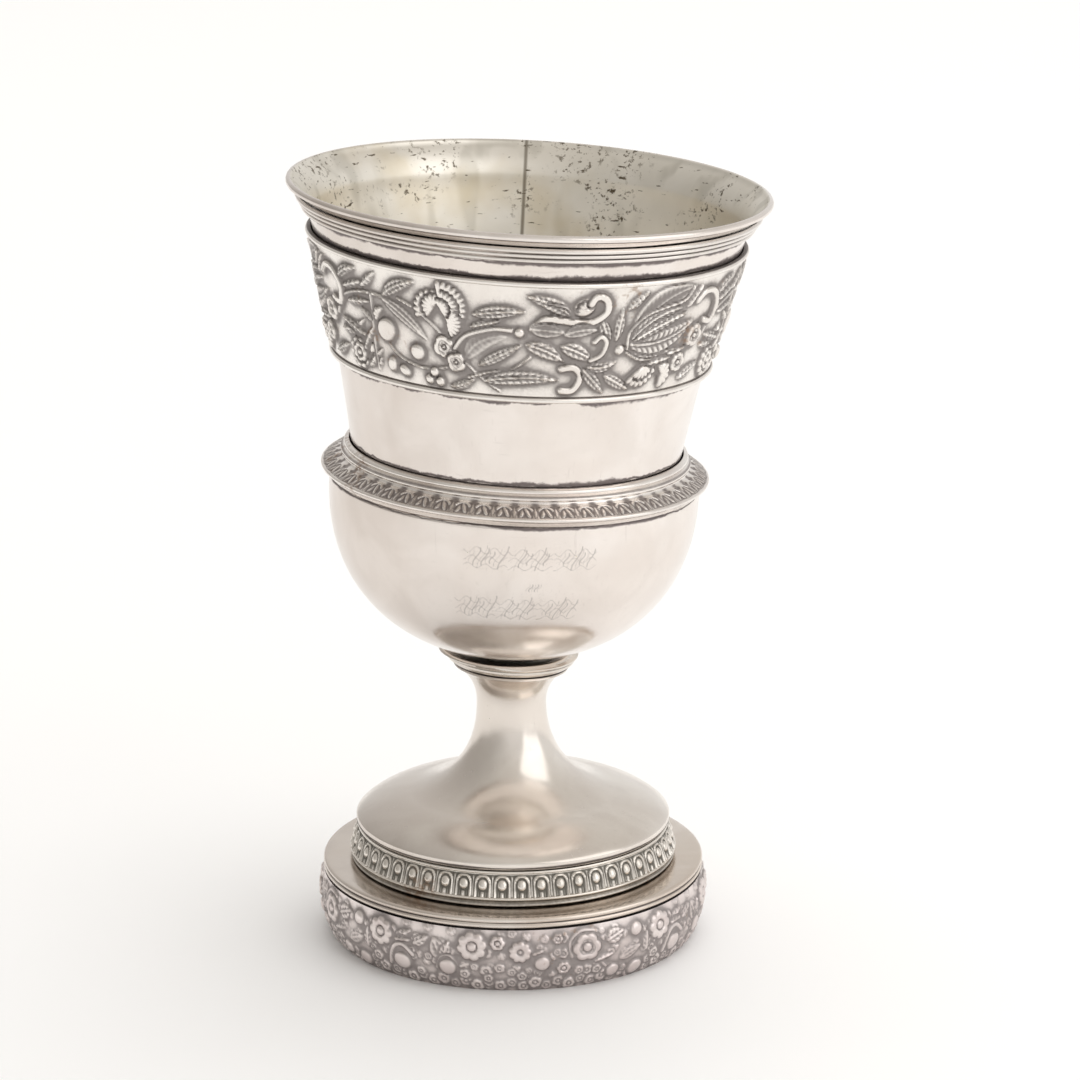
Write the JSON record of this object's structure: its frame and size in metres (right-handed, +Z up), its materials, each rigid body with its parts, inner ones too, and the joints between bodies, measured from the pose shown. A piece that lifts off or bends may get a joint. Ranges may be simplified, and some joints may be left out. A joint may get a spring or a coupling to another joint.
{
  "type": "silver presentation goblet",
  "caption": "Empty silver goblet with a round bowl, a flared lip, bands of cast flowers, and a hollow stepped foot that it stands on.",
  "frame": {"origin": "centre of the object's box seen from above, at the height of the foot's underside", "axes": "+Z up from the foot to the lip, +X to the right as the picture shows it, -Y towards the camera"},
  "size_m": [0.102, 0.1022, 0.1675],
  "materials": {
    "polished_silver": "worn silver polish with fine scratches and thin tarnish in the corners",
    "tarnished_silver": "silver relief, bright on the high parts and grey-brown in the ground"
  },
  "bodies": {
    "root": {"bowl": "polished_silver", "lip_reeding": "polished_silver", "flower_band": "tarnished_silver", "girdle": "tarnished_silver", "collar": "polished_silver", "stem_and_dome": "polished_silver", "egg_band": "tarnished_silver", "foot_step": "polished_silver", "foot_flower_band": "tarnished_silver"}
  },
  "joints": []
}
